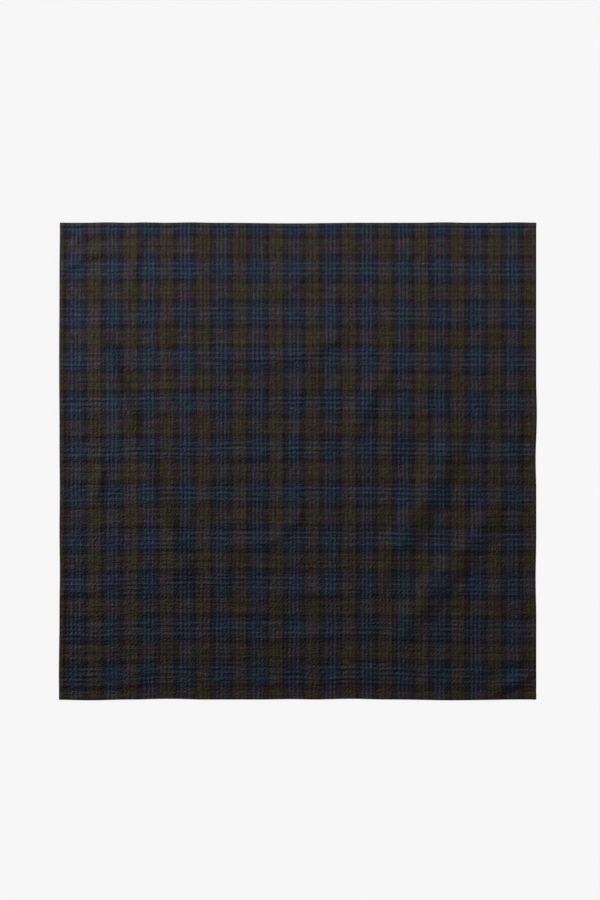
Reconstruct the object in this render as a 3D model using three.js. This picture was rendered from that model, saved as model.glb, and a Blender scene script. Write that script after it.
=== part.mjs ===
// A square bandana of crinkled cotton, laid out flat in one layer and seen from above.
// Millimetres. +X runs along the lower edge, +Y towards the upper edge and +Z up off the surface.
// The origin is the middle of the underside.

import * as THREE from "three";

// Driving sizes
const SIDE = 600; // the finished square, edge to edge
const CLOTH = 1.2; // one layer, with the height of its crinkle
const HEM_WIDTH = 5; // the narrow hem, turned twice
const HEM_RISE = 0.8; // what the turned layers add
const EDGE_ROUND = 1.2; // the hem rounds over this far in from the edge
const HEM_FALL = 1.6; // and steps down to the single layer over this width
const EDGE_PULL = 70; // how far in the unevenness of an edge is felt

// Fineness of the sheet
const INNER_CELLS = 46; // even cells between one hem and the other
const CREST_STEPS = 10; // straight steps along the crest of a fold
const END_FADE = 0.35; // share of a fold's length over which each end dies away

const CLOTH_COLOUR = 0x2b2c33;
const CLOTH_ROUGHNESS = 0.92;

// Soft folds left in the laid cloth. A crest runs from a point, over a second and on to a third.
// The fold spreads over its reach to either side and stands up by its rise.
const FOLDS = [
  { name: "right inner fold", from: [203, 50], over: [165, -40], to: [112, -130], reach: 28, rise: 2.8 },
  { name: "right outer fold", from: [250, -28], over: [188, -122], to: [108, -226], reach: 30, rise: 3.2 },
  { name: "upper right fold", from: [148, 268], over: [188, 128], to: [206, 34], reach: 24, rise: 1.3 },
  { name: "left long fold", from: [-244, 152], over: [-196, -2], to: [-135, -168], reach: 18, rise: 1.6 },
  { name: "upper left fold", from: [-189, 296], over: [-206, 228], to: [-222, 158], reach: 16, rise: 1.3 },
  { name: "left upright fold", from: [-163, 206], over: [-165, 140], to: [-163, 66], reach: 14, rise: 1 },
  { name: "upper arc", from: [-142, 156], over: [-8, 134], to: [74, 184], reach: 23, rise: 2.1 },
  { name: "top short fold", from: [-20, 202], over: [4, 230], to: [40, 250], reach: 17, rise: 1.5 },
  { name: "middle right fold", from: [120, 128], over: [84, 76], to: [58, 20], reach: 21, rise: 2 },
  { name: "middle short fold", from: [-118, 8], over: [-68, 5], to: [-22, 12], reach: 15, rise: 1.1 },
  { name: "lower arc", from: [-100, -104], over: [-24, -88], to: [14, -38], reach: 21, rise: 2.1 },
  { name: "lower level fold", from: [-84, -182], over: [6, -172], to: [84, -166], reach: 15, rise: 1.4 },
  { name: "lowest level fold", from: [-110, -232], over: [12, -227], to: [132, -216], reach: 14, rise: 1.2 },
  { name: "left edge fold", from: [-300, -170], over: [-268, -167], to: [-232, -162], reach: 16, rise: 1.4 },
  { name: "left small fold", from: [-234, 6], over: [-246, -28], to: [-252, -66], reach: 14, rise: 1.1 },
  { name: "corner fold, upper left", from: [-296, 236], over: [-262, 254], to: [-222, 268], reach: 15, rise: 1.2 },
  { name: "foot fold, right", from: [200, -220], over: [180, -246], to: [160, -272], reach: 17, rise: 1.6 },
  { name: "foot fold, far right", from: [284, -226], over: [250, -250], to: [214, -266], reach: 16, rise: 1.7 },
  { name: "corner fold, lower right", from: [299, -262], over: [276, -278], to: [248, -294], reach: 15, rise: 2 },
];

// The edges wander a little. At a place along a side the edge stands out, or in where negative.
const EDGE_WAVES = [
  { side: "left", at: 300, out: -0.6, reach: 70 },
  { side: "left", at: 128, out: 0.4, reach: 90 },
  { side: "left", at: -38, out: -0.4, reach: 60 },
  { side: "left", at: -138, out: -0.5, reach: 50 },
  { side: "left", at: -270, out: 0.7, reach: 80 },
  { side: "right", at: 60, out: 0.7, reach: 45 },
  { side: "right", at: 0, out: -0.7, reach: 40 },
  { side: "right", at: -148, out: -0.7, reach: 50 },
  { side: "top", at: -240, out: 0.5, reach: 30 },
  { side: "top", at: -192, out: 0.5, reach: 25 },
  { side: "top", at: -135, out: 0.5, reach: 30 },
  { side: "top", at: -8, out: -0.7, reach: 90 },
  { side: "top", at: 184, out: 0.5, reach: 35 },
  { side: "top", at: 274, out: 0.5, reach: 30 },
  { side: "bottom", at: -262, out: 1, reach: 55 },
  { side: "bottom", at: -164, out: -0.8, reach: 45 },
  { side: "bottom", at: -9, out: -0.6, reach: 40 },
  { side: "bottom", at: 66, out: -0.8, reach: 50 },
  { side: "bottom", at: 198, out: 1, reach: 85 },
];

const HALF = SIDE / 2;

// A soft hump: 1 in the middle, 0 at its reach and beyond.
function hump(away, reach) {
  return away < reach ? 0.5 + 0.5 * Math.cos((Math.PI * away) / reach) : 0;
}

// The lines of the sheet across one side: closer in the hems, even between them.
function sheetLines() {
  const hem = [0, EDGE_ROUND, HEM_WIDTH, HEM_WIDTH + HEM_FALL];
  const first = hem[hem.length - 1] - HALF;
  const lines = hem.map((inward) => inward - HALF);
  for (let cell = 1; cell < INNER_CELLS; cell += 1) {
    lines.push(first - (2 * first * cell) / INNER_CELLS);
  }
  return lines.concat(hem.map((inward) => HALF - inward).reverse());
}

// The crest of a fold as short straight steps.
function crestSteps({ from, over, to }) {
  const path = new THREE.SplineCurve([from, over, to].map(([x, y]) => new THREE.Vector2(x, y)));
  const points = path.getPoints(CREST_STEPS).map(({ x, y }) => new THREE.Vector3(x, y, 0));
  return points.slice(1).map((point, i) => new THREE.Line3(points[i], point));
}

// How far one fold lifts the cloth at a place: full on the crest, none at its ends.
function liftOfFold(fold, place) {
  const nearest = new THREE.Vector3();
  let away = Infinity;
  let along = 0;
  fold.crest.forEach((step, i) => {
    const share = step.closestPointToPointParameter(place, true);
    const distance = step.at(share, nearest).distanceTo(place);
    if (distance < away) {
      away = distance;
      along = (i + share) / CREST_STEPS;
    }
  });
  const ends = THREE.MathUtils.smoothstep(Math.min(along, 1 - along), 0, END_FADE);
  return fold.rise * ends * hump(away, fold.reach);
}

const folds = FOLDS.map((fold) => ({ ...fold, crest: crestSteps(fold) }));

function foldLift(x, y) {
  const place = new THREE.Vector3(x, y, 0);
  return folds.reduce((sum, fold) => sum + liftOfFold(fold, place), 0);
}

// The hem's share of its full rise, this far in from an edge.
function hemShare(inward) {
  if (inward < EDGE_ROUND) return inward / EDGE_ROUND;
  return 1 - THREE.MathUtils.clamp((inward - HEM_WIDTH) / HEM_FALL, 0, 1);
}

// The two hems cross at a corner, where both add their rise.
function thickness(x, y) {
  const turned = hemShare(HALF - Math.abs(x)) + hemShare(HALF - Math.abs(y));
  return CLOTH + HEM_RISE * turned;
}

// How far out a side stands at a place along it.
function edgeOut(side, at) {
  const waves = EDGE_WAVES.filter((wave) => wave.side === side);
  return waves.reduce((sum, wave) => sum + wave.out * hump(Math.abs(at - wave.at), wave.reach), 0);
}

// The sheet's own plane, drawn in or let out by its nearest edges.
function drawn(x, y) {
  const sideways = edgeOut(x < 0 ? "left" : "right", y) * hump(HALF - Math.abs(x), EDGE_PULL);
  const upwards = edgeOut(y < 0 ? "bottom" : "top", x) * hump(HALF - Math.abs(y), EDGE_PULL);
  return [x + Math.sign(x) * sideways, y + Math.sign(y) * upwards];
}

// Each four-sided cell is split along its shorter diagonal, so that slanting folds stay smooth.
function splitAlongFolds(geometry) {
  const index = geometry.getIndex();
  const place = geometry.getAttribute("position");
  const corner = (i) => new THREE.Vector3().fromBufferAttribute(place, i);
  for (let i = 0; i < index.count; i += 6) {
    const [a, b, d, , c] = index.array.slice(i, i + 6);
    if (corner(a).distanceTo(corner(c)) < corner(b).distanceTo(corner(d))) {
      index.array.set([a, b, c, a, c, d], i);
    }
  }
}

function bandanaCloth() {
  const lines = sheetLines();
  const cells = lines.length - 1;
  const lineAt = (even) => lines[Math.round((even / SIDE + 0.5) * cells)];
  const sheet = new THREE.BoxGeometry(SIDE, SIDE, CLOTH, cells, cells, 1);
  const place = sheet.getAttribute("position");
  for (let i = 0; i < place.count; i += 1) {
    const x = lineAt(place.getX(i));
    const y = lineAt(place.getY(i));
    const onTop = place.getZ(i) > 0;
    place.setXYZ(i, ...drawn(x, y), foldLift(x, y) + (onTop ? thickness(x, y) : 0));
  }
  splitAlongFolds(sheet);
  sheet.computeBoundingBox();
  const middle = sheet.boundingBox.getCenter(new THREE.Vector3());
  sheet.translate(-middle.x, -middle.y, -sheet.boundingBox.min.z);
  sheet.computeVertexNormals();
  const finish = new THREE.MeshStandardMaterial({
    color: CLOTH_COLOUR,
    roughness: CLOTH_ROUGHNESS,
    metalness: 0,
  });
  const cloth = new THREE.Mesh(sheet, finish);
  cloth.name = "bandana_cloth";
  return cloth;
}

const bandana = new THREE.Group();
bandana.add(bandanaCloth());

export default bandana;
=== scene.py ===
import math

import bmesh
import bpy
import numpy as np
from mathutils import Matrix


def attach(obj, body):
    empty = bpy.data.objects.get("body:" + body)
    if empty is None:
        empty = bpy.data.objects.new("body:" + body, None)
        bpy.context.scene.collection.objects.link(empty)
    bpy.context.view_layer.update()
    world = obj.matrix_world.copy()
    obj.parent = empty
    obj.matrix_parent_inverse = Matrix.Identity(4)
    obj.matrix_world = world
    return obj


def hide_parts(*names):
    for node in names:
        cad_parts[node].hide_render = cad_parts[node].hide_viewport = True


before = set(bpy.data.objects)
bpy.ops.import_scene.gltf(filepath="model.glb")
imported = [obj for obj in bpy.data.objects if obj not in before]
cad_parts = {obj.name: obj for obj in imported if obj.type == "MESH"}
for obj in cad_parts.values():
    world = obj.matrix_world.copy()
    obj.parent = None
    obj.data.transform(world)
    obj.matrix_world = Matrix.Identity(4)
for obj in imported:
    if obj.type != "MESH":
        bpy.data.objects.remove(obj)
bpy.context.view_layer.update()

# Driving sizes of the cloth
SIDE = 0.600
HALF = SIDE / 2
CLOTH = 0.0007  # one crinkled layer
LAID_OFF = 0.0002  # the underside is nowhere nearer to the surface, so that its stitches clear it
REST_LIFT = 0.00090  # the crinkle lifts the cloth inside the hem by about this much
HEM_REST = 0.4  # and the hem by this share of it
HEM_WIDTH = 0.0050
HEM_RISE = 0.0009  # what the turned layers add
EDGE_ROUND = 0.0011  # the hem rounds over this far in from the edge
HEM_FALL = 0.0013  # and steps down to the single layer over this width
EDGE_PULL = 0.070  # how far in the unevenness of an edge is felt
HEM_LINES = (0, 0.0002, 0.0006, EDGE_ROUND, 0.0026, 0.0038, 0.0044, HEM_WIDTH, HEM_WIDTH + HEM_FALL)
INNER_CELLS = 200  # even cells between one hem and the other

# Topstitching of the hem
STITCH_IN = 0.0042  # from the edge to the stitch line
STITCH_PITCH = 0.0030
STITCH_LENGTH = 0.0024
THREAD = 0.00030  # how thick it is
STITCH_SEGMENTS = 6
STITCH_RINGS = 4

# Folds and creases left in the laid cloth, in millimetres. A crest runs from a point, over a second
# and on to a third. The fold spreads to its left and to its right, as seen along its crest, and
# stands up by its rise. Each end dies away over a share of its length.
MM = 0.001
CREST_STEPS = 12  # straight steps along the crest of a fold
FOLDS = (
    # name, start, over, end, left, right, rise, start share, end share
    ("right inner fold", (203, 50), (166, -40), (110, -134), 28, 30, 4.3, 0.20, 0.20),
    ("right inner tail", (126, -118), (111, -144), (97, -168), 12, 18, 1.7, 0.35, 0.35),
    ("right outer fold", (268, -30), (201, -122), (115, -230), 28, 27, 4.7, 0.28, 0.10),
    ("upper right fold", (150, 290), (178, 152), (188, 10), 6, 20, 1.4, 0.15, 0.25),
    ("left long fold", (-262, 202), (-194, 0), (-131, -170), 19, 42, 4.5, 0.15, 0.12),
    ("left long fold, lower part", (-204, 14), (-169, -78), (-136, -168), 13, 30, 1.2, 0.35, 0.35),
    ("upper left fold", (-189, 298), (-206, 236), (-219, 160), 7, 16, 1.4, 0.10, 0.25),
    ("left upright fold", (-165, 206), (-165, 126), (-163, 46), 7, 14, 1.4, 0.20, 0.25),
    ("upper arc", (-156, 148), (-10, 131), (66, 182), 24, 15, 2.8, 0.30, 0.25),
    ("top short fold", (-20, 202), (4, 230), (40, 250), 17, 12, 1.2, 0.35, 0.35),
    ("middle right fold", (117, 124), (92, 78), (60, 20), 18, 24, 3.1, 0.20, 0.30),
    ("middle short fold", (-118, 6), (-68, 4), (-22, 10), 18, 9, 1.2, 0.35, 0.35),
    ("lower arc", (-102, -104), (-30, -99), (10, -48), 20, 11, 2.3, 0.15, 0.20),
    ("lower level fold", (-78, -177), (0, -171), (86, -168), 16, 7, 1.9, 0.25, 0.30),
    ("lowest level fold", (-90, -229), (12, -223), (112, -214), 14, 7, 1.3, 0.25, 0.30),
    ("left edge fold", (-299, -164), (-268, -163), (-232, -160), 16, 9, 1.8, 0.15, 0.35),
    ("left small fold", (-236, 8), (-250, -28), (-255, -68), 7, 14, 2.0, 0.30, 0.35),
    ("left low fold", (-252, -64), (-248, -104), (-241, -150), 8, 14, 0.6, 0.30, 0.30),
    ("left level crease", (-299, 4), (-262, 3), (-222, 3), 12, 6, 0.6, 0.10, 0.35),
    ("corner fold, upper left", (-298, 238), (-264, 256), (-222, 268), 14, 7, 1.8, 0.15, 0.35),
    ("corner crease, upper left", (-292, 267), (-262, 284), (-226, 294), 7, 7, 1.1, 0.20, 0.35),
    ("corner crease, upper right", (219, 228), (238, 206), (256, 180), 5, 7, 1.5, 0.30, 0.35),
    ("right upright crease", (242, 116), (240, 72), (237, 22), 6, 12, 0.5, 0.30, 0.30),
    ("middle upright crease", (3, 104), (2, 50), (0, -8), 6, 10, 1.2, 0.25, 0.25),
    ("middle left crease", (-20, 46), (-19, 5), (-18, -38), 6, 9, 1.0, 0.25, 0.25),
    ("foot upright crease", (3, -166), (4, -196), (7, -226), 6, 9, 1.2, 0.25, 0.25),
    ("slanting crease", (-140, -73), (-112, -47), (-62, -40), 10, 6, 0.7, 0.25, 0.40),
    ("lower short crease", (-90, -193), (-40, -186), (-2, -180), 8, 5, 1.2, 0.25, 0.30),
    ("foot level crease", (-70, -256), (20, -258), (108, -260), 9, 5, 0.5, 0.20, 0.25),
    ("top hem fold", (-70, 289), (10, 290), (110, 287), 9, 14, 0.35, 0.35, 0.35),
    ("foot fold, right", (194, -236), (178, -258), (160, -282), 9, 18, 2.0, 0.35, 0.30),
    ("foot fold, far right", (290, -247), (254, -257), (212, -266), 10, 28, 2.5, 0.20, 0.30),
    ("corner fold, lower right", (299, -264), (272, -280), (230, -296), 9, 14, 3.0, 0.20, 0.30),
)

# The edges wander a little. At a place along a side the edge stands out, or in where negative.
EDGE_WAVES = (
    dict(side="left", at=0.300, out=-0.0006, reach=0.070),
    dict(side="left", at=0.128, out=0.0004, reach=0.090),
    dict(side="left", at=-0.038, out=-0.0004, reach=0.060),
    dict(side="left", at=-0.138, out=-0.0005, reach=0.050),
    dict(side="left", at=-0.270, out=0.0007, reach=0.080),
    dict(side="right", at=0.060, out=0.0007, reach=0.045),
    dict(side="right", at=0.000, out=-0.0007, reach=0.040),
    dict(side="right", at=-0.148, out=-0.0007, reach=0.050),
    dict(side="top", at=-0.240, out=0.0005, reach=0.030),
    dict(side="top", at=-0.192, out=0.0005, reach=0.025),
    dict(side="top", at=-0.135, out=0.0005, reach=0.030),
    dict(side="top", at=-0.008, out=-0.0007, reach=0.090),
    dict(side="top", at=0.184, out=0.0005, reach=0.035),
    dict(side="top", at=0.274, out=0.0005, reach=0.030),
    dict(side="bottom", at=-0.262, out=0.0010, reach=0.055),
    dict(side="bottom", at=-0.164, out=-0.0008, reach=0.045),
    dict(side="bottom", at=-0.009, out=-0.0004, reach=0.040),
    dict(side="bottom", at=0.066, out=-0.0008, reach=0.050),
    dict(side="bottom", at=0.198, out=0.0010, reach=0.085),
)

# Crinkle left by washing, as trains of small waves. A train travels along its heading, in degrees,
# give or take the spread, and its waves are between short and long.
CRINKLES = (
    # across the warp
    dict(heading=0, spread=7, short=0.009, long=0.018, trains=30, height=0.00014),
    # across the weft
    dict(heading=90, spread=7, short=0.009, long=0.018, trains=34, height=0.00017),
    # slanting
    dict(heading=-42, spread=26, short=0.010, long=0.020, trains=24, height=0.00007),
    # broad
    dict(heading=0, spread=180, short=0.030, long=0.075, trains=24, height=0.00045),
)
CRINKLE_SEED = 11
CRINKLE_AT_TOP = 0.55  # share of the crinkle at the upper edge, where the cloth is smoothest

# The woven check: how often it repeats, and where its first navy groups lie
WARP_REPEAT = 0.04576
WEFT_REPEAT = 0.05652
FIRST_WARP_GROUP = 0.02075  # in from the left edge
FIRST_WEFT_GROUP = 0.00200  # down from the upper edge
YARN = 0.00036
STRIPE_BLUR = 0.00022  # half the width over which one stripe turns into the next
WEAVE_BLUR = 0.12  # the same where warp and weft cross, as a share of the weave's swing

# Stripes of half a repeat, from the middle of a navy group outwards: where each ends, and its yarn
WARP_STRIPES = (
    (0.00125, "steel"),
    (0.00380, "navy"),
    (0.00630, "steel"),
    (0.00850, "night"),
    (0.00950, "slate"),
    (0.01110, "dusk"),
    (0.01455, "ink"),
    (0.01500, "moss"),
    (0.01730, "olive"),
    (0.01890, "moss"),
    (0.02170, "straw"),
    (WARP_REPEAT / 2, "bark"),
)
WEFT_STRIPES = (
    (0.00150, "steel"),
    (0.00490, "navy"),
    (0.00780, "steel"),
    (0.01050, "night"),
    (0.01220, "slate"),
    (0.01340, "dusk"),
    (0.01540, "ink"),
    (0.01750, "soot"),
    (0.01920, "earth"),
    (0.02710, "olive"),
    (WEFT_REPEAT / 2, "bark"),
)

# Yarn colours as linear light, and the share of olive in each
WARP_YARNS = dict(
    steel=(0.0332, 0.0440, 0.0686, 0),
    navy=(0.0062, 0.0120, 0.0283, 0),
    night=(0.0085, 0.0132, 0.0266, 0),
    slate=(0.0120, 0.0146, 0.0240, 0),
    dusk=(0.0158, 0.0155, 0.0222, 0.1),
    ink=(0.0101, 0.0086, 0.0104, 0.5),
    olive=(0.0395, 0.0313, 0.0214, 1),
    moss=(0.0333, 0.0240, 0.0144, 1),
    straw=(0.0483, 0.0363, 0.0249, 1),
    bark=(0.0242, 0.0163, 0.0081, 1),
)
WEFT_YARNS = dict(
    steel=(0.0321, 0.0402, 0.0591, 0),
    navy=(0.0141, 0.0189, 0.0318, 0),
    night=(0.0142, 0.0178, 0.0306, 0),
    slate=(0.0223, 0.0244, 0.0350, 0),
    dusk=(0.0150, 0.0150, 0.0222, 0.1),
    ink=(0.0143, 0.0121, 0.0144, 0.4),
    soot=(0.0142, 0.0111, 0.0098, 0.6),
    earth=(0.0196, 0.0144, 0.0114, 0.9),
    olive=(0.0359, 0.0268, 0.0179, 1),
    bark=(0.0258, 0.0185, 0.0116, 1),
)

# A square of one kind of yarn looks less red, and a square of navy and olive redder and bluer.
PURE_RED = 0.92
MIXED_RED = 1.12
MIXED_BLUE = 1.05

# The yarns wander a little with the crinkle, and the ends of the weft hang lower than its middle.
SWAY_LUMPS = 28  # to the metre
WARP_SWAY = 0.0020
WEFT_SWAY = 0.0007
LEFT_SAG = dict(none_at=0.160, full_at=0.020, top=0.0004, foot=0.0028)
RIGHT_SAG = dict(none_at=0.360, full_at=0.540, top=0.0010, foot=0.0030)
MIDDLE_RISE = 0.0007

# Unevenness of the yarns and of the wash. Lumps are to the metre, across a yarn and along it.
OFF_DYE = 0.14
OFF_DYE_LUMPS = (230, 30)
SLUBS = (
    dict(lumps=(2600, 38), shade=0.30),
    dict(lumps=(440, 110), shade=0.85),
)
UNEVEN_WASH = (
    dict(lumps=16, amount=0.11),
    dict(lumps=45, amount=0.22),
    dict(lumps=110, amount=0.32),
)

# Each noise is cut at a depth of its own, so that no two are alike.
DEPTHS = dict(
    weft_sway=3.7,
    warp_dye=4.4,
    weft_dye=5.5,
    warp_slubs=3.1,
    weft_slubs=6.6,
    upright_puckers=1.3,
    level_puckers=2.6,
    crossed_puckers=8.3,
    upright_creases=14.2,
    level_creases=15.8,
    dots=17.4,
)
NOISE_ENDS = (0.35, 0.65)  # most noise lies between these
CROSSED_ENDS = (0.38, 0.66)

# Relief finer than the mesh: puckers that keep to the lines of the check, lumps and low creases.
# A change has the place where it starts, the place where it ends, and the strength at each.
LINES_A_REPEAT = 9
WARP_LINE = WARP_REPEAT / LINES_A_REPEAT
WEFT_LINE = WEFT_REPEAT / LINES_A_REPEAT
FULL_HEIGHT = 0.2 * SIDE  # from here down the cloth is at its most crinkled
PUCKER_HEIGHT = 0.00033
PUCKER_LUMPS = 30  # to the metre
PUCKER_STRETCH = 0.6  # strong patches are longer along their lines, by one over this
PUCKER_RANGE = (-0.6, 1.1)
PUCKERS_DOWNWARD = (SIDE, FULL_HEIGHT, 0.38, 1)
UPRIGHT_FROM_GROUP = (0.009, 0.014, 1.05, 0.85)
LEVEL_FROM_GROUP = (0.010, 0.016, 1.45, 0.50)
CROSSED_LUMPS = 34
CROSSED_RANGE = (0.0, 1.1)
CROSSED_SHIFT = 0.11  # the crossed puckers lie this share of a line above and left of the crossings
CROSSED_DOWNWARD = (0.55 * SIDE, 0.22 * SIDE, 0.34, 1)
OVER_OLIVE = 0.98  # share of the relief where both yarns are olive
OVER_NAVY = 0.12  # and what each navy group adds to it
NAVY_WARP_FADE = (0.011, 0.018, OVER_NAVY, 0)
NAVY_WEFT_FADE = (0.013, 0.022, OVER_NAVY, 0)
ONTO_HEM = (HEM_WIDTH - 0.001, HEM_WIDTH + 0.002, 0.3, 1)
LUMPS = (
    dict(across=200, upward=200, height=0.0009, depth=5.2),
    dict(across=330, upward=330, height=0.0016, depth=6.1),
    dict(across=520, upward=520, height=0.0015, depth=7.7),
    dict(across=260, upward=8, height=0.0008, depth=9.4),
    dict(across=7, upward=250, height=0.0015, depth=11.9),
)
LUMPS_DOWNWARD = (SIDE, FULL_HEIGHT, 0.44, 1)
WARP_CREASE_AT = 0.0125  # from the middle of a navy group
WEFT_CREASE_AT = 0.0145
CREASE_REACH = 0.0045
CREASE_HEIGHT = 0.00018
UPRIGHT_CREASE_LUMPS = (24, 9)  # across and upward
LEVEL_CREASE_LUMPS = (8, 22)
CREASES_DOWNWARD = (0.8 * SIDE, FULL_HEIGHT, 0, 1)
YARN_HEIGHT = 0.000012

# Light and shade painted into the colour by the relief and the hem, and random tone where lines of
# the check cross
PAINTED_HOLLOW_SHADE = 0.15  # painted shade: how much darker the colour is made between two puckers, where less light gets in
HOLLOW_RANGE = (-1.3, 0.3)  # the puckers' heights between which that fades
DOT_SHADE = 0.08  # how much lighter or darker the cloth is where two lines of the check cross
DOT_LUMPS = 40
# painted shade round the edge of the cloth, where the hem rolls under
PAINTED_EDGE_SHADE = 0.15
PAINTED_UPPER_EDGE_LIGHT = 1.10  # painted highlight: the upper edge is made light instead
EDGE_LINE = (0.0008, 0.0016)  # from the edge, where its painted shade line starts to fade and where it ends; along the upper edge that line is a painted highlight
# where along the upper edge the painted shade gives way to the painted highlight
UPPER_EDGE_LIGHT_LINE = (SIDE - 0.001, SIDE - 0.0005)
# painted shadow in the crease where the hem steps down to the single layer
PAINTED_HEM_STEP_SHADOW = 0.78
HEM_STEP_AT = HEM_WIDTH + HEM_FALL / 3

# How matt the cotton is
ROUGH_LUMPS = 60
ROUGH_FROM = (0.3, 0.7)
ROUGH_TO = (0.84, 0.94)
COTTON_SHINE = (("Specular IOR Level", 0.10), ("Sheen Weight", 0.02), ("Sheen Roughness", 0.5))

# The thread of the hem
# the thread's own dark tone, with painted shade in the grooves of its twist and lighter on its crests
THREAD_DARK = (0.010, 0.010, 0.014, 1)
THREAD_LIGHT = (0.022, 0.022, 0.028, 1)
THREAD_ROUGH = (0.6, 0.75)
THREAD_LUMPS = 400
TWISTS = 900  # to the metre
TWIST_STRENGTH = 0.6
TWIST_DEPTH = 0.00008

# The surface below, in linear light. It glows a little, to reach its tone in the photo.
FLOOR_SIZE = 60.0
PAPER = 0.930  # that tone
FLOOR_TONE = 0.90  # the share of the light that it throws back
SKY = 0.172
FLOOR_GLOW = PAPER - FLOOR_TONE * SKY

# The camera looks straight down, a little right of and above the middle of the cloth.
CAMERA_PLACE = (0.0027, 0.0140, 2.675)
CAMERA_LENS = 85  # millimetres
CAMERA_FILM = 36

# Lamps that light the cloth and not the floor. The key light stands off the cloth's upper left.
LAMPS = (
    dict(name="key", place=(-1.23, 0.85, 0.70), size=0.30, power=28.2),
    dict(name="upper_side", place=(0.35, 0.61, 0.50), size=0.20, power=1.80),
    dict(name="lower_corner", place=(0.33, -0.33, 0.35), size=0.30, power=0.18),
)


def smooth(share):
    """0 to 1 with soft ends."""
    share = np.clip(share, 0, 1)
    return share * share * (3 - 2 * share)


def hump(away, reach):
    """A soft hump: 1 in the middle, 0 at its reach and beyond."""
    return np.where(away < reach, 0.5 + 0.5 * np.cos(np.pi * np.minimum(away / reach, 1)), 0)


def crest_points(start, over, end):
    """Points along a fold's crest, a smooth curve through its three places."""
    start, over, end = (MM * np.array(place) for place in (start, over, end))
    steer = 2 * over - (start + end) / 2
    t = np.linspace(0, 1, CREST_STEPS + 1)[:, None]
    return (1 - t) ** 2 * start + 2 * t * (1 - t) * steer + t**2 * end


def fold_lift(x, y):
    """How far the folds lift the cloth."""
    total = np.zeros_like(x)
    for _, start, over, end, left, right, rise, start_share, end_share in FOLDS:
        points = crest_points(start, over, end)
        away = np.full_like(x, np.inf)
        along = np.zeros_like(x)
        reach = np.full_like(x, MM)
        for i, (a, b) in enumerate(zip(points[:-1], points[1:])):
            step = b - a
            share = ((x - a[0]) * step[0] + (y - a[1]) * step[1]) / (step @ step)
            share = np.clip(share, 0, 1)
            distance = np.hypot(x - a[0] - share * step[0], y - a[1] - share * step[1])
            on_left = (y - a[1]) * step[0] > (x - a[0]) * step[1]
            nearer = distance < away
            away = np.where(nearer, distance, away)
            along = np.where(nearer, (i + share) / CREST_STEPS, along)
            reach = np.where(nearer, np.where(on_left, left * MM, right * MM), reach)
        ends = smooth(along / start_share) * smooth((1 - along) / end_share)
        total += rise * MM * ends * hump(away, reach)
    return total


def wave_trains(x, y, kind, chance):
    """Small waves of one kind, each train with its own length, heading and start."""
    total = np.zeros_like(x)
    for _ in range(kind["trains"]):
        heading = math.radians(kind["heading"] + chance.uniform(-kind["spread"], kind["spread"]))
        wave = 2 * math.pi / chance.uniform(kind["short"], kind["long"])
        start = chance.uniform(0, 2 * math.pi)
        total += np.cos(wave * (x * math.cos(heading) + y * math.sin(heading)) + start)
    return total * kind["height"] * math.sqrt(2 / kind["trains"])


def crinkle(x, y):
    """The crinkle's height, about its own middle."""
    chance = np.random.default_rng(CRINKLE_SEED)
    total = sum(wave_trains(x, y, kind, chance) for kind in CRINKLES)
    strength = CRINKLE_AT_TOP + (1 - CRINKLE_AT_TOP) * smooth((HALF - y) / SIDE)
    return total * strength


def hem_share(inward):
    """The hem's share of its full rise, this far in from an edge."""
    rounded = np.sqrt(np.clip(1 - (1 - np.clip(inward / EDGE_ROUND, 0, 1)) ** 2, 0, 1))
    fallen = smooth((inward - HEM_WIDTH) / HEM_FALL)
    return np.where(inward < EDGE_ROUND, rounded, 1 - fallen)


def turned(x, y):
    """Hem layers here: none inside, one hem along a side, two where they cross at a corner."""
    return hem_share(HALF - np.abs(x)) + hem_share(HALF - np.abs(y))


def underside(x, y):
    """Height of the lower face. The hem lies flatter than the cloth inside it."""
    inside = smooth((HALF - np.maximum(np.abs(x), np.abs(y)) - HEM_WIDTH) / (2 * HEM_WIDTH))
    waves = np.maximum(crinkle(x, y) + REST_LIFT, 0)
    return LAID_OFF + fold_lift(x, y) + waves * (HEM_REST + (1 - HEM_REST) * inside)


def upper_face(x, y):
    """Height of the upper face."""
    return underside(x, y) + CLOTH + HEM_RISE * turned(x, y)


def edge_out(side, at):
    """How far out a side stands at a place along it."""
    waves = [wave for wave in EDGE_WAVES if wave["side"] == side]
    return sum(wave["out"] * hump(np.abs(at - wave["at"]), wave["reach"]) for wave in waves)


def drawn(x, y):
    """The sheet's own plane, drawn in or let out by its nearest edges."""
    sideways = np.where(x < 0, edge_out("left", y), edge_out("right", y))
    upwards = np.where(y < 0, edge_out("bottom", x), edge_out("top", x))
    sideways = sideways * hump(HALF - np.abs(x), EDGE_PULL)
    upwards = upwards * hump(HALF - np.abs(y), EDGE_PULL)
    return x + np.sign(x) * sideways, y + np.sign(y) * upwards


def sheet_lines():
    """The lines of the sheet across one side: closer in the hems, even between them."""
    hem = np.array(HEM_LINES)
    inner = np.linspace(hem[-1] - HALF, HALF - hem[-1], INNER_CELLS + 1)[1:-1]
    return np.concatenate([hem - HALF, inner, (HALF - hem)[::-1]])


def finished(name, bm, finish):
    """A mesh object of this bmesh, with its finish."""
    mesh = bpy.data.meshes.new(name)
    bm.to_mesh(mesh)
    bm.free()
    mesh.materials.append(finish)
    piece = bpy.data.objects.new(name, mesh)
    bpy.context.scene.collection.objects.link(piece)
    return piece


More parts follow.
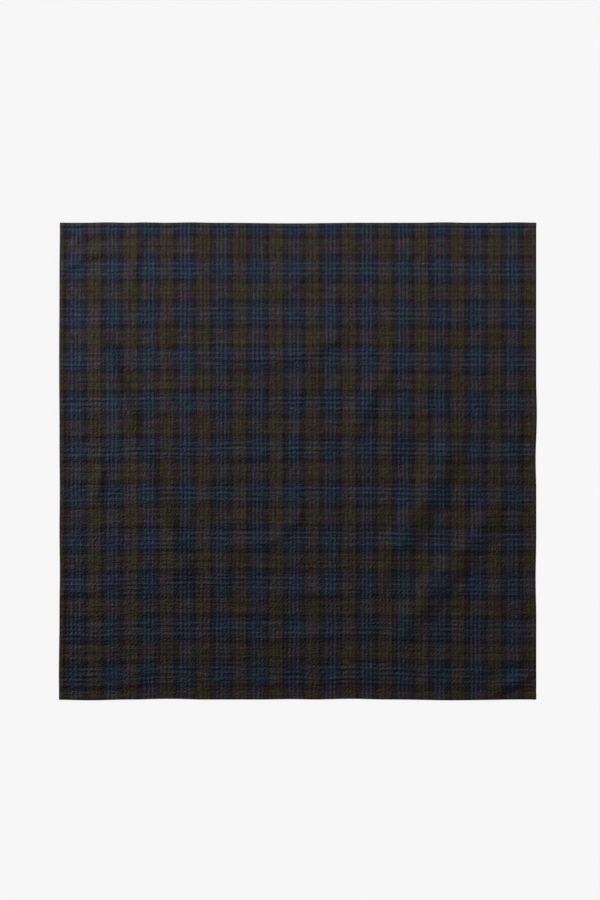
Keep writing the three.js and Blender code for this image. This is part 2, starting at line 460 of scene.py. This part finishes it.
def bandana_cloth(finish):
    """The cut square with its turned hems: an upper and a lower face joined round the edge."""
    lines = sheet_lines()
    cells = len(lines) - 1
    bm = bmesh.new()
    bmesh.ops.create_grid(bm, x_segments=cells, y_segments=cells, size=HALF)
    raised = bmesh.ops.extrude_face_region(bm, geom=list(bm.faces))["geom"]
    upper = [v for v in raised if isinstance(v, bmesh.types.BMVert)]
    bmesh.ops.translate(bm, verts=upper, vec=(0, 0, CLOTH))
    bmesh.ops.recalc_face_normals(bm, faces=list(bm.faces))

    flat_map = bm.loops.layers.uv.new("flat")
    for vert in bm.verts:
        vert.co.x = lines[round((vert.co.x + HALF) / SIDE * cells)]
        vert.co.y = lines[round((vert.co.y + HALF) / SIDE * cells)]
    for face in bm.faces:
        face.smooth = True
        for loop in face.loops:
            loop[flat_map].uv = (loop.vert.co.x / SIDE + 0.5, loop.vert.co.y / SIDE + 0.5)

    cloth = finished("bandana_sheet", bm, finish)
    place = np.empty(len(cloth.data.vertices) * 3)
    cloth.data.vertices.foreach_get("co", place)
    x, y, z = place.reshape(-1, 3).T.copy()
    height = np.where(z > CLOTH / 2, upper_face(x, y), underside(x, y))
    across, along = drawn(x, y)
    cloth.data.vertices.foreach_set("co", np.stack([across, along, height], 1).ravel())
    cloth.data.update()
    return cloth


def stitch_places():
    """Middle and heading of each stitch, side after side."""
    line = HALF - STITCH_IN
    count = int(2 * line / STITCH_PITCH)
    along = (np.arange(count) - (count - 1) / 2) * STITCH_PITCH
    level = [(at, side, 0) for side in (line, -line) for at in along]
    upright = [(side, at, 90) for side in (line, -line) for at in along]
    return level + upright


def hem_stitching(finish):
    """Topstitches on the upper face and their partners on the lower one, half sunk in the hem."""
    shape = bmesh.new()
    size = Matrix.Diagonal((STITCH_LENGTH / 2, THREAD / 2, THREAD / 2, 1))
    bmesh.ops.create_uvsphere(
        shape, u_segments=STITCH_SEGMENTS, v_segments=STITCH_RINGS, radius=1, matrix=size
    )
    stitch = bpy.data.meshes.new("one_stitch")
    shape.to_mesh(stitch)
    shape.free()
    corners = np.array([vert.co for vert in stitch.vertices])

    x, y, heading = np.array(stitch_places()).T
    across, along = drawn(x, y)
    heights = np.concatenate([upper_face(x, y), underside(x, y)])
    middle = np.stack([np.tile(across, 2), np.tile(along, 2), heights], 1)
    turn = np.radians(np.tile(heading, 2))[:, None]
    reach = corners[:, 0] * np.cos(turn) - corners[:, 1] * np.sin(turn)
    width = corners[:, 0] * np.sin(turn) + corners[:, 1] * np.cos(turn)
    depth = np.broadcast_to(corners[:, 2], reach.shape)
    place = middle[:, None, :] + np.stack([reach, width, depth], 2)

    bm = bmesh.new()
    for _ in middle:
        bm.from_mesh(stitch)
    for face in bm.faces:
        face.smooth = True
    stitches = finished("hem_stitching", bm, finish)
    stitches.data.vertices.foreach_set("co", place.ravel())
    stitches.data.update()
    bpy.data.meshes.remove(stitch)
    return stitches


class Finish:
    """Builds one material's nodes."""

    def __init__(self, name):
        self.material = bpy.data.materials.new(name)
        self.material.use_nodes = True
        self.tree = self.material.node_tree
        self.shader = self.tree.nodes["Principled BSDF"]

    def add(self, kind, **settings):
        node = self.tree.nodes.new(kind)
        for key, value in settings.items():
            setattr(node, key, value)
        return node

    def feed(self, socket, value):
        if isinstance(value, bpy.types.NodeSocket):
            self.tree.links.new(value, socket)
        else:
            socket.default_value = value

    def feed_all(self, sockets, values):
        for socket, value in zip(sockets, values):
            self.feed(socket, value)

    def maths(self, operation, *values):
        node = self.add("ShaderNodeMath", operation=operation)
        self.feed_all(node.inputs, values)
        return node.outputs[0]

    def plus(self, first, second):
        return self.maths("ADD", first, second)

    def minus(self, first, second):
        return self.maths("SUBTRACT", first, second)

    def times(self, first, second):
        return self.maths("MULTIPLY", first, second)

    def vector_maths(self, operation, *values):
        node = self.add("ShaderNodeVectorMath", operation=operation)
        self.feed_all(node.inputs, values)
        return node

    def between(self, value, low, high, to_low=0, to_high=1, kind="SMOOTHSTEP"):
        """A ramp from one value, where the given one is low, to another where it is high."""
        node = self.add("ShaderNodeMapRange", interpolation_type=kind)
        self.feed_all(node.inputs, (value, low, high, to_low, to_high))
        return node.outputs[0]

    def blend(self, share, first, second, mode="MIX"):
        node = self.add("ShaderNodeMix", data_type="RGBA", blend_type=mode)
        self.feed_all((node.inputs[0], node.inputs[6], node.inputs[7]), (share, first, second))
        return node.outputs[2]

    def tinted(self, colour, tint):
        return self.blend(1, colour, tint, "MULTIPLY")

    def place(self, x, y, z=0.0):
        node = self.add("ShaderNodeCombineXYZ")
        self.feed_all(node.inputs, (x, y, z))
        return node.outputs[0]

    def noise(self, where, scale, detail):
        """Smooth noise at places given in metres, so scale is in lumps per metre."""
        node = self.add("ShaderNodeTexNoise", noise_dimensions="3D")
        self.feed(node.inputs["Vector"], where)
        node.inputs["Scale"].default_value = scale
        node.inputs["Detail"].default_value = detail
        return node

    def cloud(self, where, scale, detail=1):
        """Grey noise from 0 to 1."""
        return self.noise(where, scale, detail).outputs["Fac"]

    def patches(self, where, scale, weak, strong, ends=NOISE_ENDS):
        """Soft patches that run from a weak value to a strong one."""
        return self.between(self.cloud(where, scale), *ends, weak, strong)

    def uneven(self, colour, where, scale, amount):
        """The colour made redder, greener or bluer in places, but no lighter or darker."""
        coloured = self.noise(where, scale, 2).outputs["Color"]
        grey = self.vector_maths("DOT_PRODUCT", coloured, [1 / 3] * 3).outputs["Value"]
        off_grey = self.vector_maths("SUBTRACT", coloured, grey).outputs[0]
        change = self.vector_maths("MULTIPLY_ADD", off_grey, [2 * amount] * 3, [1, 1, 1])
        return self.tinted(colour, change.outputs[0])

    def chart(self, away, half_repeat, stripes, yarns):
        """The colour this far from the middle of a navy group, with its share of olive in alpha."""
        node = self.add("ShaderNodeValToRGB")
        self.feed(node.inputs[0], self.maths("DIVIDE", away, half_repeat))
        ramp = node.color_ramp
        ramp.interpolation = "LINEAR"
        stops = [(0.0, stripes[0][1])]
        for (edge, yarn), (_, following) in zip(stripes[:-1], stripes[1:]):
            stops += [(edge - STRIPE_BLUR, yarn), (edge + STRIPE_BLUR, following)]
        ramp.elements[0].position = 0
        ramp.elements[1].position = 1
        for at, _ in stops[1:]:
            ramp.elements.new(at / half_repeat)
        for element, (at, yarn) in zip(ramp.elements, stops + [(half_repeat, stripes[-1][1])]):
            element.position = at / half_repeat
            element.color = yarns[yarn]
        return node.outputs["Color"], node.outputs["Alpha"]

    def bump(self, height, strength=1, distance=1):
        node = self.add("ShaderNodeBump")
        node.inputs["Strength"].default_value = strength
        node.inputs["Distance"].default_value = distance
        self.feed(node.inputs["Height"], height)
        self.feed(self.shader.inputs["Normal"], node.outputs[0])


class CheckCotton(Finish):
    """The woven check: warp and weft stripes that cross in a plain weave, on crinkled cotton."""

    def __init__(self):
        super().__init__("check_cotton")
        parts = self.add("ShaderNodeSeparateXYZ")
        self.feed(parts.inputs[0], self.add("ShaderNodeUVMap", uv_map="flat").outputs[0])
        self.across, self.upward = (self.times(part, SIDE) for part in parts.outputs[:2])
        self.where = self.place(self.across, self.upward)
        self.to_side = self.maths("PINGPONG", self.across, HALF)
        self.to_edge = self.maths("MINIMUM", self.to_side, self.maths("PINGPONG", self.upward, HALF))
        self.inside = self.between(self.to_edge, *ONTO_HEM)

        self.x = self.plus(self.across, self.sway(self.where, WARP_SWAY))
        stray = self.sway(self.place(self.upward, self.across, DEPTHS["weft_sway"]), WEFT_SWAY)
        self.y = self.plus(self.plus(self.upward, stray), self.bow())
        self.past_warp = self.minus(self.x, FIRST_WARP_GROUP)
        self.past_weft = self.minus(self.minus(SIDE, self.y), FIRST_WEFT_GROUP)
        self.from_warp = self.maths("PINGPONG", self.past_warp, WARP_REPEAT / 2)
        self.from_weft = self.maths("PINGPONG", self.past_weft, WEFT_REPEAT / 2)

        self.upright = self.ridges(self.from_warp, WARP_LINE)
        self.level = self.ridges(self.from_weft, WEFT_LINE)
        by_warp = self.between(self.from_warp, *NAVY_WARP_FADE)
        by_weft = self.between(self.from_weft, *NAVY_WEFT_FADE)
        self.drawn_up = self.times(self.plus(self.plus(by_warp, by_weft), OVER_OLIVE), self.inside)

    def sway(self, where, amount):
        """How far a yarn strays to one side or the other."""
        return self.times(self.minus(self.cloud(where, SWAY_LUMPS), 0.5), amount)

    def sag(self, none_at, full_at, top, foot):
        """How far one end of the weft hangs, which grows from the upper edge to the lower one."""
        depth = self.between(self.upward, SIDE, 0, top, foot, "LINEAR")
        return self.times(self.between(self.across, none_at, full_at), depth)

    def bow(self):
        """How far the weft hangs below its own level."""
        return self.minus(self.plus(self.sag(**LEFT_SAG), self.sag(**RIGHT_SAG)), MIDDLE_RISE)

    def ridges(self, along, line):
        """Sharp ridges a line apart: 1 on each crest and -1 between two."""
        half_line = line / 2
        return self.between(self.maths("PINGPONG", along, half_line), 0, half_line, 1, -1, "LINEAR")

    def spot(self, across, upward, depth):
        """A place for noise with so many lumps to the metre each way, which goes with the yarns."""
        return self.place(self.times(self.x, across), self.times(self.y, upward), depth)

    def spun(self, colour, dye_spot, slub_spots):
        """A yarn's colour, a little off its dye and a little lighter or darker along its length."""
        colour = self.uneven(colour, dye_spot, 1, OFF_DYE)
        for slub, spot in zip(SLUBS, slub_spots):
            ends = (1 - slub["shade"], 1 + slub["shade"])
            colour = self.tinted(colour, self.between(self.cloud(spot, 1), 0, 1, *ends, "LINEAR"))
        return colour

    def warp(self):
        """The upright yarns' colour, and their share of olive."""
        colour, olive = self.chart(self.from_warp, WARP_REPEAT / 2, WARP_STRIPES, WARP_YARNS)
        dye_spot = self.spot(*OFF_DYE_LUMPS, DEPTHS["warp_dye"])
        slub_spots = [self.spot(*slub["lumps"], DEPTHS["warp_slubs"]) for slub in SLUBS]
        return self.spun(colour, dye_spot, slub_spots), olive

    def weft(self):
        """The level yarns' colour, and their share of olive."""
        colour, olive = self.chart(self.from_weft, WEFT_REPEAT / 2, WEFT_STRIPES, WEFT_YARNS)
        dye_spot = self.spot(*OFF_DYE_LUMPS[::-1], DEPTHS["weft_dye"])
        slub_spots = [self.spot(*slub["lumps"][::-1], DEPTHS["weft_slubs"]) for slub in SLUBS]
        return self.spun(colour, dye_spot, slub_spots), olive

    def weave(self):
        """Plain weave: above 0 in every other cell of a yarn each way, where the warp lies on top."""
        ends = self.maths("SINE", self.times(self.x, math.pi / YARN))
        picks = self.maths("SINE", self.times(self.y, math.pi / YARN))
        return self.times(ends, picks)

    def woven(self, weave):
        """The colour of the two sets of yarns where they cross."""
        warp, warp_olive = self.warp()
        weft, weft_olive = self.weft()
        colour = self.blend(self.between(weave, -WEAVE_BLUR, WEAVE_BLUR), weft, warp)
        mixed = self.maths("ABSOLUTE", self.minus(warp_olive, weft_olive))
        red = self.between(mixed, 0, 1, PURE_RED, MIXED_RED, "LINEAR")
        blue = self.between(mixed, 0, 1, 1, MIXED_BLUE, "LINEAR")
        tint = self.add("ShaderNodeCombineColor")
        self.feed_all(tint.inputs, (red, 1, blue))
        return self.tinted(colour, tint.outputs[0])

    def puckers(self):
        """Sharp puckers along the lines of the check, each way and where they cross."""
        along = self.times(self.upward, PUCKER_STRETCH)
        where = self.place(self.across, along, DEPTHS["upright_puckers"])
        strength = self.patches(where, PUCKER_LUMPS, *PUCKER_RANGE)
        strength = self.times(strength, self.between(self.from_warp, *UPRIGHT_FROM_GROUP))
        upright = self.times(self.upright, strength)

        along = self.times(self.across, PUCKER_STRETCH)
        where = self.place(along, self.upward, DEPTHS["level_puckers"])
        strength = self.patches(where, PUCKER_LUMPS, *PUCKER_RANGE)
        strength = self.times(strength, self.between(self.from_weft, *LEVEL_FROM_GROUP))
        level = self.times(self.level, strength)

        where = self.place(self.across, self.upward, DEPTHS["crossed_puckers"])
        strength = self.patches(where, CROSSED_LUMPS, *CROSSED_RANGE, ends=CROSSED_ENDS)
        strength = self.times(strength, self.between(self.upward, *CROSSED_DOWNWARD))
        over_warp = self.ridges(self.plus(self.past_warp, CROSSED_SHIFT * WARP_LINE), WARP_LINE)
        over_weft = self.ridges(self.plus(self.past_weft, CROSSED_SHIFT * WEFT_LINE), WEFT_LINE)
        crossed = self.times(self.times(over_warp, over_weft), strength)

        height = self.plus(self.plus(upright, level), crossed)
        height = self.times(height, self.between(self.upward, *PUCKERS_DOWNWARD, "LINEAR"))
        return self.times(height, self.drawn_up)

    def lumps(self):
        """Small creases along the yarns either way, and lumps at random, in metres."""
        total = 0.0
        for lump in LUMPS:
            spot = self.spot(lump["across"], lump["upward"], lump["depth"])
            bumpy = self.minus(self.cloud(spot, 1), 0.5)
            total = self.maths("MULTIPLY_ADD", bumpy, lump["height"], total)
        total = self.times(total, self.between(self.upward, *LUMPS_DOWNWARD, "LINEAR"))
        return self.times(total, self.drawn_up)

    def crease(self, away, lumps, depth):
        """Low creases one way: full where away is 0, raised in some places and sunk in others."""
        across, upward = lumps
        spot = self.place(self.times(self.across, across), self.times(self.upward, upward), depth)
        return self.times(self.between(away, 0, CREASE_REACH, 1, 0), self.patches(spot, 1, 1, -1))

    def creases(self):
        """Long low creases beside the navy groups, the way of the warp and of the weft, in metres."""
        by_warp = self.maths("ABSOLUTE", self.minus(self.from_warp, WARP_CREASE_AT))
        by_weft = self.maths("ABSOLUTE", self.minus(self.from_weft, WEFT_CREASE_AT))
        upright = self.crease(by_warp, UPRIGHT_CREASE_LUMPS, DEPTHS["upright_creases"])
        level = self.crease(by_weft, LEVEL_CREASE_LUMPS, DEPTHS["level_creases"])
        height = self.times(self.plus(upright, level), CREASE_HEIGHT)
        height = self.times(height, self.between(self.upward, *CREASES_DOWNWARD))
        return self.times(height, self.inside)

    def shaded(self, colour, puckers):
        """Painted shade between two puckers, and lighter or darker where two lines of the check
        cross.
        """
        # painted shade in the hollows between puckers, deepest where the puckers are lowest
        painted_hollow_shade = self.between(puckers, *HOLLOW_RANGE, 1 - PAINTED_HOLLOW_SHADE, 1, "LINEAR")
        where = self.place(self.across, self.upward, DEPTHS["dots"])
        dots = self.patches(where, DOT_LUMPS, -DOT_SHADE, DOT_SHADE)
        dots = self.maths("MULTIPLY_ADD", self.times(self.upright, self.level), dots, 1.0)
        return self.tinted(self.tinted(colour, painted_hollow_shade), dots)

    def washed(self, colour):
        """Patches left by washing."""
        for wash in UNEVEN_WASH:
            colour = self.uneven(colour, self.where, wash["lumps"], wash["amount"])
        return colour

    def painted_hem_light_and_shade(self, colour):
        """Painted light and shade of the turned hem: painted shade round the edge, a painted
        highlight along the upper one, and a painted shadow in its crease.
        """
        # painted shade round the edge, and a painted highlight along the upper edge
        edge = self.between(self.upward, *UPPER_EDGE_LIGHT_LINE, PAINTED_EDGE_SHADE, PAINTED_UPPER_EDGE_LIGHT)
        colour = self.tinted(colour, self.between(self.to_edge, *EDGE_LINE, edge, 1.0))
        # painted shadow along the crease at the hem's inner step
        to_lower_edge = self.maths("MINIMUM", self.to_side, self.upward)
        from_step = self.maths("ABSOLUTE", self.minus(to_lower_edge, HEM_STEP_AT))
        return self.tinted(colour, self.between(from_step, 0, HEM_FALL, PAINTED_HEM_STEP_SHADOW, 1))

    def built(self):
        """The material, with its colour, relief and matt surface in place."""
        weave = self.weave()
        puckers = self.puckers()
        colour = self.painted_hem_light_and_shade(self.washed(self.shaded(self.woven(weave), puckers)))
        self.feed(self.shader.inputs["Base Color"], colour)

        low = self.plus(self.lumps(), self.creases())
        height = self.maths("MULTIPLY_ADD", puckers, PUCKER_HEIGHT, low)
        yarns = self.times(self.maths("ABSOLUTE", weave), YARN_HEIGHT)
        self.bump(self.plus(height, yarns))

        rough = self.cloud(self.where, ROUGH_LUMPS, 2)
        rough = self.between(rough, *ROUGH_FROM, *ROUGH_TO, "LINEAR")
        self.feed(self.shader.inputs["Roughness"], rough)
        for key, value in COTTON_SHINE:
            self.shader.inputs[key].default_value = value
        return self.material


def sewing_thread():
    """Dark twisted thread of the hem."""
    f = Finish("sewing_thread")
    where = f.add("ShaderNodeTexCoord").outputs["Object"]
    twist = f.add("ShaderNodeTexWave", wave_type="BANDS", bands_direction="DIAGONAL")
    f.feed(twist.inputs["Vector"], where)
    twist.inputs["Scale"].default_value = TWISTS
    # the thread's tone follows the twist's relief: painted shade in its grooves, lighter on its
    # crests
    colour = f.blend(twist.outputs["Fac"], THREAD_DARK, THREAD_LIGHT)
    f.feed(f.shader.inputs["Base Color"], colour)
    f.bump(twist.outputs["Fac"], TWIST_STRENGTH, TWIST_DEPTH)
    rough = f.between(f.cloud(where, THREAD_LUMPS, 2), *ROUGH_FROM, *THREAD_ROUGH, "LINEAR")
    f.feed(f.shader.inputs["Roughness"], rough)
    return f.material


def pale_floor():
    """The plain pale surface that the cloth lies on."""
    f = Finish("pale_floor")
    f.shader.inputs["Base Color"].default_value = (FLOOR_TONE, FLOOR_TONE, FLOOR_TONE, 1)
    f.shader.inputs["Roughness"].default_value = 1
    f.shader.inputs["Specular IOR Level"].default_value = 0
    f.shader.inputs["Emission Color"].default_value = (1, 1, 1, 1)
    f.shader.inputs["Emission Strength"].default_value = FLOOR_GLOW
    bm = bmesh.new()
    bmesh.ops.create_grid(bm, x_segments=1, y_segments=1, size=FLOOR_SIZE / 2)
    floor = finished("studio_floor", bm, f.material)


def camera():
    """A long lens over the cloth."""
    lens = bpy.data.cameras.new("camera")
    lens.lens = CAMERA_LENS
    lens.sensor_width = CAMERA_FILM
    eye = bpy.data.objects.new("camera", lens)
    eye.location = CAMERA_PLACE
    bpy.context.scene.collection.objects.link(eye)
    bpy.context.scene.camera = eye


def area_light(name, place, size, power, lit):
    """A round lamp that points at the middle of the cloth and lights only the given pieces."""
    lamp = bpy.data.lights.new(name, "AREA")
    lamp.shape = "DISK"
    lamp.size = size
    lamp.energy = power
    light = bpy.data.objects.new(name, lamp)
    light.location = place
    x, y, z = place
    light.rotation_euler = (math.atan2(math.hypot(x, y), z), 0, math.atan2(x, -y))
    bpy.context.scene.collection.objects.link(light)
    light.light_linking.receiver_collection = lit


def studio(pieces):
    """Soft light, and a world that looks like the floor where the camera sees past it."""
    lit = bpy.data.collections.new("lit_by_key")
    for piece in pieces:
        lit.objects.link(piece)
    for lamp in LAMPS:
        area_light(**lamp, lit=lit)
    world = bpy.data.worlds.new("studio")
    world.use_nodes = True
    tree = world.node_tree
    sky = tree.nodes["Background"]
    seen = tree.nodes.new("ShaderNodeBackground")
    for background, strength in ((sky, SKY), (seen, PAPER)):
        background.inputs["Color"].default_value = (1, 1, 1, 1)
        background.inputs["Strength"].default_value = strength
    path = tree.nodes.new("ShaderNodeLightPath")
    either = tree.nodes.new("ShaderNodeMixShader")
    tree.links.new(path.outputs["Is Camera Ray"], either.inputs[0])
    tree.links.new(sky.outputs[0], either.inputs[1])
    tree.links.new(seen.outputs[0], either.inputs[2])
    tree.links.new(either.outputs[0], tree.nodes["World Output"].inputs[0])
    bpy.context.scene.world = world
    bpy.context.scene.view_settings.view_transform = "Standard"


camera()
cloth = bandana_cloth(CheckCotton().built())
stitching = hem_stitching(sewing_thread())
for piece in (cloth, stitching):
    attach(piece, "root")
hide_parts("bandana_cloth")
pale_floor()
studio((cloth, stitching))
